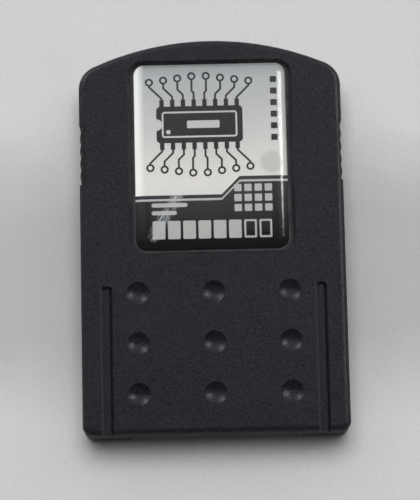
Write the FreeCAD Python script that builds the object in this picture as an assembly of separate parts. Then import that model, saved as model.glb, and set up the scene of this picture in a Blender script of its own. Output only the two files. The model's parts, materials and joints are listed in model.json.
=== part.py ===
"""Memory card for a game console.

Two moulded half shells press together on pins around a circuit board. A printed foil under a clear
resin dome fills a recess in the front. The console's contact springs enter three bays in the back of
the insertion end and touch the contact strips on the underside of the board.

Sizes are in millimetres. X runs across the card, +Y from the insertion end to the arched grip end and
+Z from the back to the labelled front. The origin lies on the back face, below the middle of the card.
"""

import FreeCAD, Part
import math
import os

# Card body
CARD_WIDTH = 42.0
CARD_LENGTH = 63.4
CARD_THICKNESS = 8.2
PARTING_HEIGHT = 4.4  # from the back face to the plane where the shells meet
CROWN_RADIUS = 45.7  # arch of the grip end
SHOULDER_RADIUS = 4.0
END_CORNER_RADIUS = 1.6
FRONT_EDGE_ROUND = 1.0
BACK_EDGE_BEVEL = 0.5
SEAM_BEVEL = 0.12  # on the outer edge of each shell, along the seam
INNER_CORNER_RADIUS = 0.4  # least radius of a corner inside the shells

# Walls
SIDE_WALL = 1.8
FRONT_WALL = 2.0
BACK_WALL = 1.4

# Lip of the back shell that laps inside the front shell
LIP_THICKNESS = 0.7
LIP_HEIGHT = 0.9
LIP_CLEARANCE = 0.08

# Finger grip on both long sides
GRIP_VALLEYS = 5
GRIP_PITCH = 2.03
GRIP_DEPTH = 0.25  # from the side to the foot of a valley, at the seam
GRIP_RISE = 0.34  # from the foot of a valley to the top of a crest
GRIP_CREST_RADIUS = 0.85
GRIP_LEAN = 0.35  # by which the wave leans inwards from the seam to the front
GRIP_PLACE = 18.4  # from the crown to the middle of the grip

# Domed label and its recess
LABEL_WIDTH = 24.25
LABEL_LENGTH = 30.2
LABEL_CORNER_RADIUS = 1.7
LABEL_MARGIN = 3.95  # from the crown to the label's upper edge
LABEL_SIDE_GAP = 0.68  # gaps between the label and the walls of the recess
LABEL_UPPER_GAP = 0.2
LABEL_LOWER_GAP = 0.5
RECESS_DEPTH = 0.7
RECESS_BEVEL = 0.4
FOIL_THICKNESS = 0.15
DOME_THICKNESS = 0.8
DOME_EDGE_ROUND = 0.7

# Dimples in the front, the middle row measured from the insertion end
DIMPLE_COLUMNS = 3
DIMPLE_ROWS = 3
DIMPLE_COLUMN_PITCH = 12.0
DIMPLE_ROW_PITCH = 8.0
DIMPLE_MIDDLE = 14.4
DIMPLE_DIAMETER = 3.6
DIMPLE_DEPTH = 0.62

# Guide grooves in the front, open at the insertion end
GROOVE_SPACING = 33.9
GROOVE_WIDTH = 1.45
GROOVE_DEPTH = 0.6
GROOVE_LENGTH = 23.4
GROOVE_END_RADIUS = 0.5
GROOVE_BEVEL = 0.22

# Contact bays in the back of the insertion end
BAY_WIDTH = 8.3
BAY_DEPTH = 9.0  # from the insertion end to the wall behind the bays
BAY_WALL = 1.2
BAY_RIB = 1.2  # thickness of the ribs between the bays
BAY_RIB_SETBACK = 0.8  # from the insertion end to the nose of a rib
BAY_RIB_NOSE = 0.5
CONTACTS_IN_BAY = (3, 3, 2)

# Contact strips
CONTACT_PITCH = 2.7
CONTACT_WIDTH = 1.7
CONTACT_LENGTH = 9.6
CONTACT_THICKNESS = 0.15
CONTACT_SETBACK = 0.3  # from the edge of the board to the strips
CONTACT_CLEARANCE = 0.15  # between the strips and the wall that they pass over

# Circuit board
BOARD_LENGTH = 50.0
BOARD_THICKNESS = 1.0
BOARD_CLEARANCE = 0.3  # between the board and the lip

# Pins of the back shell, through the board into sockets of the front shell
PIN_SPACING = 29.8
LOWER_PIN = 18.6  # from the insertion end
UPPER_PIN = 47.0  # from the insertion end
PIN_RADIUS = 0.9
PIN_REACH = 1.4  # past the board
PIN_END_CLEARANCE = 0.1
SOCKET_CLEARANCE = 0.03
BOARD_HOLE_CLEARANCE = 0.15
POST_RADIUS = 1.8

# Flash memory chip with leads at both narrow ends
FLASH_LENGTH = 18.4
FLASH_WIDTH = 12.0
FLASH_THICKNESS = 1.0
FLASH_LEAD_COUNT = 24  # at each end
FLASH_MIDDLE = 38.0  # from the insertion end

# Controller chip with leads on all four sides
CONTROLLER_SIDE = 7.0
CONTROLLER_THICKNESS = 1.4
CONTROLLER_LEAD_COUNT = 12  # on each side
CONTROLLER_MIDDLE = 21.0  # from the insertion end

# Chip leads
CHIP_STANDOFF = 0.1
CHIP_CORNER_BEVEL = 0.5  # on the corner that marks the first lead
LEAD_PITCH = 0.5
LEAD_WIDTH = 0.22
LEAD_THICKNESS = 0.15
LEAD_REACH = 0.9
LEAD_FOOT = 0.4

# Clock crystal, beside the controller chip
CRYSTAL_LENGTH = 3.2
CRYSTAL_WIDTH = 2.5
CRYSTAL_BASE = 0.5
CRYSTAL_LID = 0.3
CRYSTAL_RIM = 0.3  # of the base, round the lid

# Capacitors beside the chips, and a row of resistors beside the contact strips
SMALL_PART_LENGTH = 1.6
SMALL_PART_WIDTH = 0.8
SMALL_PART_CAP = 0.3  # length of each soldered end
SMALL_PART_STEP = 0.04  # by which the soldered ends stand out
SMALL_PART_GAP = 1.2  # to the chip's leads or the strips that it lies beside
CAPACITOR_HEIGHT = 0.8
CAPACITOR_SPREAD = 4.5  # between the two capacitors beside the controller chip
RESISTOR_HEIGHT = 0.45
RESISTOR_COUNT = 4
RESISTOR_PITCH = 5.0

# Values that follow from the driving dimensions
END = -CARD_LENGTH / 2
FRONT = CARD_THICKNESS
FRONT_INSIDE = CARD_THICKNESS - FRONT_WALL
BOARD_TOP = PARTING_HEIGHT + BOARD_THICKNESS
RECESS_FLOOR = FRONT - RECESS_DEPTH
LABEL_MIDDLE = CARD_LENGTH / 2 - LABEL_MARGIN - LABEL_LENGTH / 2
BAYS_WIDTH = len(CONTACTS_IN_BAY) * BAY_WIDTH + (len(CONTACTS_IN_BAY) - 1) * BAY_RIB
BOARD_LOWER_EDGE = END + SIDE_WALL + BOARD_CLEARANCE
CONTACT_LOWER_END = BOARD_LOWER_EDGE + CONTACT_SETBACK
FLASH_Y = END + FLASH_MIDDLE
CONTROLLER_Y = END + CONTROLLER_MIDDLE
CUT_MARGIN = CARD_THICKNESS  # by which cutting tools pass the faces that they open
ROUND_LIMIT = 0.9  # largest share of a corner, a thickness or a half width that a round takes up
SAME_HEIGHT = 1e-6  # difference below which two heights count as equal


def point(x, y, z=0.0):
    return FreeCAD.Vector(x, y, z)


def line(start, end):
    return Part.LineSegment(start, end).toShape()


def arc(start, middle, end):
    return Part.Arc(start, middle, end).toShape()


def prism(edges, low, high):
    """Solid between two heights over a closed outline drawn at height 0."""
    face = Part.Face(Part.Wire(edges))
    face.translate(point(0, 0, low))
    return face.extrude(point(0, 0, high - low))


def box(x_low, x_high, y_low, y_high, z_low, z_high):
    corner = point(x_low, y_low, z_low)
    return Part.makeBox(x_high - x_low, y_high - y_low, z_high - z_low, corner)


def cylinder(x, y, radius, low, high):
    return Part.makeCylinder(radius, high - low, point(x, y, low))


def edges_at(solid, height):
    """Edges that lie in the level plane at that height."""
    return [e for e in solid.Edges if all(abs(v.Z - height) < SAME_HEIGHT for v in e.Vertexes)]


def fuse_all(shapes):
    return shapes[0].multiFuse(shapes[1:]).removeSplitter()


def rounded_rectangle(x, y, width, length, radius):
    """Edges of a rectangle with round corners, centred on x and y."""
    half_width = width / 2
    half_length = length / 2
    corner = min(radius, ROUND_LIMIT * min(half_width, half_length))
    inset = corner * (1 - math.sqrt(0.5))
    edges = []
    corners = ((1, 1), (-1, 1), (-1, -1), (1, -1))
    starts = []
    for i, (sx, sy) in enumerate(corners):
        beside = point(x + sx * half_width, y + sy * (half_length - corner))
        above = point(x + sx * (half_width - corner), y + sy * half_length)
        middle = point(x + sx * (half_width - inset), y + sy * (half_length - inset))
        first, last = (beside, above) if i % 2 == 0 else (above, beside)
        starts.append((first, last))
        edges.append(arc(first, middle, last))
    for i in range(len(starts)):
        edges.insert(2 * i + 1, line(starts[i][1], starts[(i + 1) % len(starts)][0]))
    return edges


def pocket_tool(x, y, width, length, radius, floor, bevel):
    """Cutter for a pocket in the front face, with a bevelled mouth."""
    core = prism(rounded_rectangle(x, y, width, length, radius), floor, FRONT + CUT_MARGIN)
    run = 2 * bevel  # the slope passes the front face, so that no thin edge is left there
    flare_edges = rounded_rectangle(x, y, width + 2 * run, length + 2 * run, radius + run)
    flare = prism(flare_edges, FRONT - bevel, FRONT + CUT_MARGIN)
    flare = flare.makeChamfer(run, edges_at(flare, FRONT - bevel))
    return core.fuse(flare)


def grip_wave():
    """Wave of the finger grip on the right side, as tangent arcs from its lower to its upper end."""
    side = CARD_WIDTH / 2
    crest_inset = GRIP_DEPTH - GRIP_RISE
    half_pitch = GRIP_PITCH / 2
    centre_distance = (half_pitch**2 + GRIP_RISE**2) / (2 * GRIP_RISE)
    valley_radius = centre_distance - GRIP_CREST_RADIUS
    end_angle = math.acos(1 - GRIP_DEPTH / centre_distance)
    end_run = centre_distance * math.sin(end_angle)
    valley_x = side - GRIP_DEPTH + valley_radius
    crest_x = side - crest_inset - GRIP_CREST_RADIUS
    end_x = side - GRIP_CREST_RADIUS
    middle = CARD_LENGTH / 2 - GRIP_PLACE
    first_y = middle - half_pitch * (GRIP_VALLEYS - 1)
    last_y = middle + half_pitch * (GRIP_VALLEYS - 1)

    def between(crest, valley):
        return crest + (valley - crest) * (GRIP_CREST_RADIUS / centre_distance)

    def on_end_crest(centre, angle):
        return centre + point(math.cos(angle), math.sin(angle)) * GRIP_CREST_RADIUS

    lower_end = point(end_x, first_y - end_run)
    upper_end = point(end_x, last_y + end_run)
    joint = between(lower_end, point(valley_x, first_y))
    edges = [arc(point(side, lower_end.y), on_end_crest(lower_end, end_angle / 2), joint)]
    for i in range(GRIP_VALLEYS):
        valley = point(valley_x, first_y + i * GRIP_PITCH)
        is_last = i == GRIP_VALLEYS - 1
        crest = upper_end if is_last else point(crest_x, valley.y + half_pitch)
        leaves = between(crest, valley)
        edges.append(arc(joint, point(side - GRIP_DEPTH, valley.y), leaves))
        if is_last:
            edges.append(arc(leaves, on_end_crest(crest, -end_angle / 2), point(side, crest.y)))
        else:
            joint = between(crest, point(valley_x, valley.y + GRIP_PITCH))
            edges.append(arc(leaves, point(side - crest_inset, crest.y), joint))
    return edges


def grip_tools(lean):
    """Cutters for the waves of both finger grips, which lean inwards by that much from seam to front."""
    wave = grip_wave()
    low = wave[0].firstVertex().Point
    high = wave[-1].lastVertex().Point
    outside = point(CUT_MARGIN, 0)
    frame = [line(high, high + outside), line(high + outside, low + outside), line(low + outside, low)]
    right = prism(wave + frame, PARTING_HEIGHT - CUT_MARGIN, PARTING_HEIGHT + CUT_MARGIN)
    tilt = math.degrees(math.atan2(lean, FRONT - PARTING_HEIGHT))
    right.rotate(point(CARD_WIDTH / 2, 0, PARTING_HEIGHT), point(0, -1), tilt)
    left = right.mirror(point(0, 0), point(1, 0))
    return [right, left]


def mirrored(edges):
    """The same edges on the other side of the card, in the opposite order."""
    copies = [e.mirror(point(0, 0), point(1, 0)) for e in edges]
    return list(reversed(copies))


def card_outline(inset):
    """Edges of the card's outline without the grips, moved inwards by inset."""
    side = CARD_WIDTH / 2 - inset
    end = END + inset
    crown_radius = CROWN_RADIUS - inset
    crown_centre = point(0, CARD_LENGTH / 2 - CROWN_RADIUS)
    shoulder = max(SHOULDER_RADIUS - inset, INNER_CORNER_RADIUS)
    corner = max(END_CORNER_RADIUS - inset, INNER_CORNER_RADIUS)
    reach = math.sqrt((crown_radius - shoulder) ** 2 - (side - shoulder) ** 2)
    shoulder_centre = crown_centre + point(side - shoulder, reach)
    outward = (shoulder_centre - crown_centre).normalize()
    crown_end = shoulder_centre + outward * shoulder
    crown_top = point(0, crown_centre.y + crown_radius)
    crown_middle = crown_centre + (outward + point(0, 1)).normalize() * crown_radius
    crown_arc = arc(crown_end, crown_middle, crown_top)
    shoulder_start = point(side, shoulder_centre.y)
    shoulder_middle = shoulder_centre + (outward + point(1, 0)).normalize() * shoulder
    shoulder_arc = arc(shoulder_start, shoulder_middle, crown_end)
    diagonal = corner * (1 - math.sqrt(0.5))
    corner_middle = point(side - diagonal, end + diagonal)
    corner_arc = arc(point(side - corner, end), corner_middle, point(side, end + corner))
    side_line = line(point(side, end + corner), shoulder_start)
    right = [corner_arc, side_line, shoulder_arc, crown_arc]
    base = line(point(corner - side, end), point(side - corner, end))
    return [base] + right + mirrored(right)


def front_blank():
    """Solid front half of the card, with a rounded front edge and a bevel along the seam."""
    blank = prism(card_outline(0), PARTING_HEIGHT, FRONT)
    edge_round = min(FRONT_EDGE_ROUND, ROUND_LIMIT * END_CORNER_RADIUS)
    blank = blank.makeFillet(edge_round, edges_at(blank, FRONT))
    blank = blank.makeChamfer(SEAM_BEVEL, edges_at(blank, PARTING_HEIGHT))
    return blank.cut(grip_tools(GRIP_LEAN))


def back_blank():
    """Solid back half of the card, with a bevelled back edge and a bevel along the seam."""
    blank = prism(card_outline(0), 0, PARTING_HEIGHT)
    edge_bevel = min(BACK_EDGE_BEVEL, ROUND_LIMIT * END_CORNER_RADIUS)
    blank = blank.makeChamfer(edge_bevel, edges_at(blank, 0))
    blank = blank.makeChamfer(SEAM_BEVEL, edges_at(blank, PARTING_HEIGHT))
    return blank.cut(grip_tools(0))


def lap_ring(outer_inset, low, high):
    """Ring along the inside of the side wall, left open where the bays are."""
    ring = prism(card_outline(outer_inset), low, high).cut(prism(card_outline(SIDE_WALL), low, high))
    reach = BAYS_WIDTH / 2 + BAY_WALL
    return ring.cut(box(-reach, reach, END, END + BAY_DEPTH, low, high))


def pin_places():
    half = PIN_SPACING / 2
    return [(x, END + y) for y in (LOWER_PIN, UPPER_PIN) for x in (-half, half)]


def dimple_tool(x, y):
    """Cutter for one round dimple."""
    rim = DIMPLE_DIAMETER / 2
    ball = (rim**2 + DIMPLE_DEPTH**2) / (2 * DIMPLE_DEPTH)
    lying_axis = point(1, 0)  # keeps the poles of the ball away from the dimple
    return Part.makeSphere(ball, point(x, y, FRONT - DIMPLE_DEPTH + ball), lying_axis)


def front_face_tools():
    """Cutters for the label recess, the dimples and the guide grooves."""
    recess = pocket_tool(
        0,
        LABEL_MIDDLE + (LABEL_UPPER_GAP - LABEL_LOWER_GAP) / 2,
        LABEL_WIDTH + 2 * LABEL_SIDE_GAP,
        LABEL_LENGTH + LABEL_UPPER_GAP + LABEL_LOWER_GAP,
        LABEL_CORNER_RADIUS + (LABEL_SIDE_GAP + LABEL_UPPER_GAP) / 2,
        RECESS_FLOOR,
        RECESS_BEVEL,
    )
    tools = [recess]
    for column in range(DIMPLE_COLUMNS):
        for row in range(DIMPLE_ROWS):
            x = (column - (DIMPLE_COLUMNS - 1) / 2) * DIMPLE_COLUMN_PITCH
            y = END + DIMPLE_MIDDLE + (row - (DIMPLE_ROWS - 1) / 2) * DIMPLE_ROW_PITCH
            tools.append(dimple_tool(x, y))
    length = GROOVE_LENGTH + CUT_MARGIN
    middle = END + GROOVE_LENGTH - length / 2
    for side in (-1, 1):
        x = side * GROOVE_SPACING / 2
        floor = FRONT - GROOVE_DEPTH
        tools.append(pocket_tool(x, middle, GROOVE_WIDTH, length, GROOVE_END_RADIUS, floor, GROOVE_BEVEL))
    return tools


def make_front_shell():
    cavity = prism(card_outline(SIDE_WALL), PARTING_HEIGHT - CUT_MARGIN, FRONT_INSIDE)
    rebate_inset = SIDE_WALL - LIP_THICKNESS - LIP_CLEARANCE
    rebate_top = PARTING_HEIGHT + LIP_HEIGHT + LIP_CLEARANCE
    rebate = lap_ring(rebate_inset, PARTING_HEIGHT - CUT_MARGIN, rebate_top)
    shell = front_blank().cut([cavity, rebate])
    bosses = [cylinder(x, y, POST_RADIUS, BOARD_TOP, FRONT_INSIDE) for x, y in pin_places()]
    shell = fuse_all([shell] + bosses)
    socket_top = BOARD_TOP + PIN_REACH + PIN_END_CLEARANCE
    socket_radius = PIN_RADIUS + SOCKET_CLEARANCE
    sockets = [cylinder(x, y, socket_radius, PARTING_HEIGHT, socket_top) for x, y in pin_places()]
    return shell.cut(sockets + front_face_tools())


def bay_rib(x):
    """Rib between two bays, with a round nose towards the insertion end."""
    nose = END + BAY_RIB_SETBACK
    tail = END + BAY_DEPTH + BAY_WALL / 2
    edges = rounded_rectangle(x, (nose + tail) / 2, BAY_RIB, tail - nose, BAY_RIB_NOSE)
    return prism(edges, 0, PARTING_HEIGHT)


def make_back_shell():
    cavity = prism(card_outline(SIDE_WALL), BACK_WALL, PARTING_HEIGHT + CUT_MARGIN)
    shell = back_blank().cut(cavity)
    half = BAYS_WIDTH / 2
    inner_wall = END + BAY_DEPTH
    bay_block = box(-half - BAY_WALL, half + BAY_WALL, END + SIDE_WALL, inner_wall, 0, PARTING_HEIGHT)
    sill = PARTING_HEIGHT - CONTACT_THICKNESS - CONTACT_CLEARANCE
    back_wall = box(-half - BAY_WALL, half + BAY_WALL, inner_wall, inner_wall + BAY_WALL, 0, sill)
    lip_low = PARTING_HEIGHT - LIP_HEIGHT
    lip = lap_ring(SIDE_WALL - LIP_THICKNESS, lip_low, PARTING_HEIGHT + LIP_HEIGHT)
    posts = [cylinder(x, y, POST_RADIUS, 0, PARTING_HEIGHT) for x, y in pin_places()]
    pins = [cylinder(x, y, PIN_RADIUS, 0, BOARD_TOP + PIN_REACH) for x, y in pin_places()]
    shell = fuse_all([shell, bay_block, back_wall, lip] + posts + pins)
    mouth = box(-half, half, END - CUT_MARGIN, inner_wall, -CUT_MARGIN, PARTING_HEIGHT + CUT_MARGIN)
    shell = shell.cut(mouth)
    rib_pitch = BAY_WIDTH + BAY_RIB
    first_rib = -rib_pitch * (len(CONTACTS_IN_BAY) - 2) / 2
    ribs = [bay_rib(first_rib + i * rib_pitch) for i in range(len(CONTACTS_IN_BAY) - 1)]
    over_sill = box(-half, half, inner_wall, inner_wall + BAY_WALL, sill, PARTING_HEIGHT + CUT_MARGIN)
    return fuse_all([shell] + ribs).cut(over_sill)


def label_outline():
    return rounded_rectangle(0, LABEL_MIDDLE, LABEL_WIDTH, LABEL_LENGTH, LABEL_CORNER_RADIUS)


def make_label_foil():
    return prism(label_outline(), RECESS_FLOOR, RECESS_FLOOR + FOIL_THICKNESS)


def make_label_dome():
    base = RECESS_FLOOR + FOIL_THICKNESS
    dome = prism(label_outline(), base, base + DOME_THICKNESS)
    edge_round = min(DOME_EDGE_ROUND, ROUND_LIMIT * DOME_THICKNESS, ROUND_LIMIT * LABEL_CORNER_RADIUS)
    return dome.makeFillet(edge_round, edges_at(dome, base + DOME_THICKNESS))


def make_circuit_board():
    side = CARD_WIDTH / 2 - SIDE_WALL - BOARD_CLEARANCE
    upper_edge = BOARD_LOWER_EDGE + BOARD_LENGTH
    board = box(-side, side, BOARD_LOWER_EDGE, upper_edge, PARTING_HEIGHT, BOARD_TOP)
    hole = PIN_RADIUS + BOARD_HOLE_CLEARANCE
    return board.cut([cylinder(x, y, hole, PARTING_HEIGHT, BOARD_TOP) for x, y in pin_places()])


def contact_places():
    """X of each contact strip, bay by bay."""
    bay_pitch = BAY_WIDTH + BAY_RIB
    first_bay = -bay_pitch * (len(CONTACTS_IN_BAY) - 1) / 2
    places = []
    for bay, count in enumerate(CONTACTS_IN_BAY):
        middle = first_bay + bay * bay_pitch
        for i in range(count):
            places.append(middle + (i - (count - 1) / 2) * CONTACT_PITCH)
    return places


def make_contact(x):
    half = CONTACT_WIDTH / 2
    upper_end = CONTACT_LOWER_END + CONTACT_LENGTH
    low = PARTING_HEIGHT - CONTACT_THICKNESS
    return box(x - half, x + half, CONTACT_LOWER_END, upper_end, low, PARTING_HEIGHT)


def chip_body(y, x_size, y_size, thickness):
    """Moulded chip under the board, with one bevelled corner by its first lead."""
    top = PARTING_HEIGHT - CHIP_STANDOFF
    body = box(-x_size / 2, x_size / 2, y - y_size / 2, y + y_size / 2, top - thickness, top)
    upright = [e for e in body.Edges if abs(e.Vertexes[0].Z - e.Vertexes[1].Z) > thickness / 2]
    first_corner = min(upright, key=lambda e: e.CenterOfMass.x + e.CenterOfMass.y)
    return body.makeChamfer(CHIP_CORNER_BEVEL, [first_corner])


def chip_lead(thickness):
    """One bent lead that leaves a chip's side along +X, with its foot on the board."""
    exit_height = CHIP_STANDOFF + thickness / 2
    half = LEAD_THICKNESS / 2
    bend = LEAD_REACH - LEAD_FOOT
    outline = [
        (0, exit_height + half),
        (bend + half, LEAD_THICKNESS),
        (LEAD_REACH, LEAD_THICKNESS),
        (LEAD_REACH, 0),
        (bend - half, 0),
        (0, exit_height - half),
    ]
    corners = [point(u, -LEAD_WIDTH / 2, PARTING_HEIGHT - depth) for u, depth in outline]
    face = Part.Face(Part.makePolygon(corners + corners[:1]))
    return face.extrude(point(0, LEAD_WIDTH, 0))


def chip_leads(y, x_size, y_size, thickness, count, turns):
    """Group of leads on the sides of a chip that the quarter turns name."""
    leads = []
    for turn in turns:
        reach = (x_size if turn % 2 == 0 else y_size) / 2
        for i in range(count):
            lead = chip_lead(thickness)
            lead.translate(point(reach, (i - (count - 1) / 2) * LEAD_PITCH))
            lead.rotate(point(0, 0), point(0, 0, 1), 90 * turn)
            lead.translate(point(0, y))
            leads.append(lead)
    return Part.makeCompound(leads)


def make_crystal():
    """Ceramic base with a smaller metal lid, under the board and beside the controller chip."""
    left = CONTROLLER_SIDE / 2 + LEAD_REACH + SMALL_PART_GAP
    right = left + CRYSTAL_LENGTH
    lower = CONTROLLER_Y - CRYSTAL_WIDTH / 2
    upper = CONTROLLER_Y + CRYSTAL_WIDTH / 2
    base_low = PARTING_HEIGHT - CRYSTAL_BASE
    rim = CRYSTAL_RIM
    base = box(left, right, lower, upper, base_low, PARTING_HEIGHT)
    lid = box(left + rim, right - rim, lower + rim, upper - rim, base_low - CRYSTAL_LID, base_low)
    return fuse_all([base, lid])


def capacitor_places():
    """Two beside the controller chip and one beyond each end of the flash chip."""
    beside = CONTROLLER_SIDE / 2 + LEAD_REACH + SMALL_PART_GAP + SMALL_PART_LENGTH / 2
    beyond = FLASH_LENGTH / 2 + LEAD_REACH + SMALL_PART_GAP + SMALL_PART_LENGTH / 2
    spread = CAPACITOR_SPREAD / 2
    by_controller = [(-beside, CONTROLLER_Y - spread), (-beside, CONTROLLER_Y + spread)]
    by_flash = [(-beyond, FLASH_Y), (beyond, FLASH_Y)]
    return by_controller + by_flash


def resistor_places():
    """A row past the inner ends of the contact strips."""
    y = CONTACT_LOWER_END + CONTACT_LENGTH + SMALL_PART_GAP + SMALL_PART_WIDTH / 2
    return [((i - (RESISTOR_COUNT - 1) / 2) * RESISTOR_PITCH, y) for i in range(RESISTOR_COUNT)]


def make_small_part(x, y, height):
    """Capacitor or resistor under the board, with soldered ends that stand out a little."""
    left, right = x - SMALL_PART_LENGTH / 2, x + SMALL_PART_LENGTH / 2
    lower, upper = y - SMALL_PART_WIDTH / 2, y + SMALL_PART_WIDTH / 2
    low, high = PARTING_HEIGHT - height, PARTING_HEIGHT
    step = SMALL_PART_STEP
    body = box(left + step, right - step, lower + step, upper - step, low + step, high - step)
    left_end = box(left, left + SMALL_PART_CAP, lower, upper, low, high)
    right_end = box(right - SMALL_PART_CAP, right, lower, upper, low, high)
    return fuse_all([body, left_end, right_end])


def make_parts():
    flash = (FLASH_Y, FLASH_LENGTH, FLASH_WIDTH, FLASH_THICKNESS)
    controller = (CONTROLLER_Y, CONTROLLER_SIDE, CONTROLLER_SIDE, CONTROLLER_THICKNESS)
    both_ends = (0, 2)
    all_sides = (0, 1, 2, 3)
    parts = {
        "front_shell": make_front_shell(),
        "back_shell": make_back_shell(),
        "label_foil": make_label_foil(),
        "label_dome": make_label_dome(),
        "circuit_board": make_circuit_board(),
        "flash_chip": chip_body(*flash),
        "flash_leads": chip_leads(*flash, FLASH_LEAD_COUNT, both_ends),
        "controller_chip": chip_body(*controller),
        "controller_leads": chip_leads(*controller, CONTROLLER_LEAD_COUNT, all_sides),
        "crystal": make_crystal(),
    }
    for i, x in enumerate(contact_places(), start=1):
        parts[f"contact_{i}"] = make_contact(x)
    for i, (x, y) in enumerate(capacitor_places(), start=1):
        parts[f"capacitor_{i}"] = make_small_part(x, y, CAPACITOR_HEIGHT)
    for i, (x, y) in enumerate(resistor_places(), start=1):
        parts[f"resistor_{i}"] = make_small_part(x, y, RESISTOR_HEIGHT)
    return parts


def main():
    os.makedirs("parts", exist_ok=True)
    for name, shape in make_parts().items():
        shape.exportStep(f"parts/{name}.step")
        print(f"{name}: {len(shape.Solids)} solids, {shape.Volume:.2f} mm3, valid {shape.isValid()}")


main()
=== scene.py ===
import bmesh
import bpy
import json
import math
from mathutils import Matrix, Vector


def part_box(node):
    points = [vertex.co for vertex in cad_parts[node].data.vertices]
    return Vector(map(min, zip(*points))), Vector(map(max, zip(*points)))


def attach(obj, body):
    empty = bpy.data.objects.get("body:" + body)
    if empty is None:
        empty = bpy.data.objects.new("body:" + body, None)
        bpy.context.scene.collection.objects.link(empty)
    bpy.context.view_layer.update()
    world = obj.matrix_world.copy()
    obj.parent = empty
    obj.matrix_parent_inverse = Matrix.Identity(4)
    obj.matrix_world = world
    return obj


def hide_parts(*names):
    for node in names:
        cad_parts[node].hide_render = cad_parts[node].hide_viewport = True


# Looks of the memory card: its materials, the clear dome over its label, the floor, the lamps and the camera.
# Lengths are in metres, as in the frame. Patterns are laid out in millimetres and marked so.

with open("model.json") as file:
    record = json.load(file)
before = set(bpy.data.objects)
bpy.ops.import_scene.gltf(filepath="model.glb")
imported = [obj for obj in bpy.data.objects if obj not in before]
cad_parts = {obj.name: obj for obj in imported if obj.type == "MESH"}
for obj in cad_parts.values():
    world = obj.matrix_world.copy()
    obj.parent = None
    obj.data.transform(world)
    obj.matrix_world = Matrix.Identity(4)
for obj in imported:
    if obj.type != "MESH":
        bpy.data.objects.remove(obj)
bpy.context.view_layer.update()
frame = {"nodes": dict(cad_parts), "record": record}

MM = 0.001

# Places from the frame
FOIL_LOW, FOIL_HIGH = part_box("label_foil")
DOME_LOW, DOME_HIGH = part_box("label_dome")
LABEL_MIDDLE = (FOIL_LOW + FOIL_HIGH) / 2
LABEL_WIDTH = FOIL_HIGH.x - FOIL_LOW.x
LABEL_LENGTH = FOIL_HIGH.y - FOIL_LOW.y
LABEL_CORNER = 1.7 * MM
SHELL_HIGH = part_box("front_shell")[1]
FRONT_FACE = SHELL_HIGH.z
CASE_SIDE = SHELL_HIGH.x


class Wire:
    """A socket in a node tree. Arithmetic on it adds Math nodes to the tree."""

    def __init__(self, tree, socket=None):
        self.tree = tree
        self.socket = socket

    def node(self, kind, sockets=(), out=0, **settings):
        """Adds a node: its settings first, then the values or wires of its sockets. Returns one output."""
        made = self.tree.nodes.new(kind)
        for name, value in settings.items():
            setattr(made, name, value)
        for key, value in dict(sockets).items():
            if isinstance(value, Wire):
                self.tree.links.new(value.socket, made.inputs[key])
            else:
                made.inputs[key].default_value = value
        return Wire(self.tree, made.outputs[out])

    def math(self, operation, *values, clamp=False):
        return self.node("ShaderNodeMath", enumerate(values), operation=operation, use_clamp=clamp)

    def __add__(self, other):
        return self.math("ADD", self, other)

    def __sub__(self, other):
        return self.math("SUBTRACT", self, other)

    def __rsub__(self, other):
        return self.math("SUBTRACT", other, self)

    def __mul__(self, other):
        return self.math("MULTIPLY", self, other)

    def __truediv__(self, other):
        return self.math("DIVIDE", self, other)

    def __pow__(self, other):
        return self.math("POWER", self, other)

    def __abs__(self):
        return self.math("ABSOLUTE", self)

    __radd__ = __add__
    __rmul__ = __mul__

    def least(self, other):
        return self.math("MINIMUM", self, other)

    def most(self, other):
        return self.math("MAXIMUM", self, other)

    def clamped(self):
        return self.math("ADD", self, 0.0, clamp=True)

    def parts(self):
        """The three parts of a vector."""
        split = self.node("ShaderNodeSeparateXYZ", {0: self}).socket.node
        return [Wire(self.tree, split.outputs[axis]) for axis in range(3)]


def millimetres(length):
    """A length in metres, as a number or a wire, in millimetres."""
    return length * (1 / MM)


def length_of(u, v):
    return (u * u + v * v) ** 0.5


def ramp_up(value, start, end):
    """0 below start, 1 above end, straight between. Start above end gives a falling ramp."""
    return ((value - start) * (1 / (end - start))).clamped()


def inside(distance, softness=0.06):
    """1 inside a shape and 0 outside it, from the distance to its edge in millimetres."""
    return (0.5 - distance * (1 / softness)).clamped()


def round_box(u, v, half_width, half_height, radius):
    """Distance to the edge of a rectangle with round corners."""
    across = abs(u) - (half_width - radius)
    along = abs(v) - (half_height - radius)
    outer = length_of(across.most(0.0), along.most(0.0))
    return outer + across.most(along).least(0.0) - radius


def segment(u, v, start, end):
    """Distance to the straight line between two points."""
    run_u, run_v = end[0] - start[0], end[1] - start[1]
    scale = 1 / (run_u**2 + run_v**2)
    from_u, from_v = u - start[0], v - start[1]
    along = (from_u * (run_u * scale) + from_v * (run_v * scale)).clamped()
    return length_of(from_u - along * run_u, from_v - along * run_v)


def repeated(value, count, pitch):
    """Place within the nearest of a centred row of repeats, their number, and the mask of the row."""
    shifted = value * (1 / pitch) + count / 2
    number = shifted.math("FLOOR", shifted)
    return (shifted - number - 0.5) * pitch, number, inside(abs(value) - count * pitch / 2)


def grey(level):
    return (level, level, level, 1)


def darkened(tone, share):
    """That share of a tone's brightness, as a full colour."""
    return (*(part * share for part in tone), 1)


def colour_mix(mask, low, high):
    """low where the mask is 0 and high where it is 1. Either may be a colour or a wire."""
    factor, first_colour, second_colour, colour_out = 0, 6, 7, 2  # sockets of the node in colour mode
    sockets = {factor: mask, first_colour: low, second_colour: high}
    return mask.node("ShaderNodeMix", sockets, out=colour_out, data_type="RGBA")


def tinted(colour, tint, mask, strength=1.0):
    """The colour with a tint over it where the mask is 1, up to that strength."""
    return colour_mix(mask * strength, colour, tint)


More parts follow.
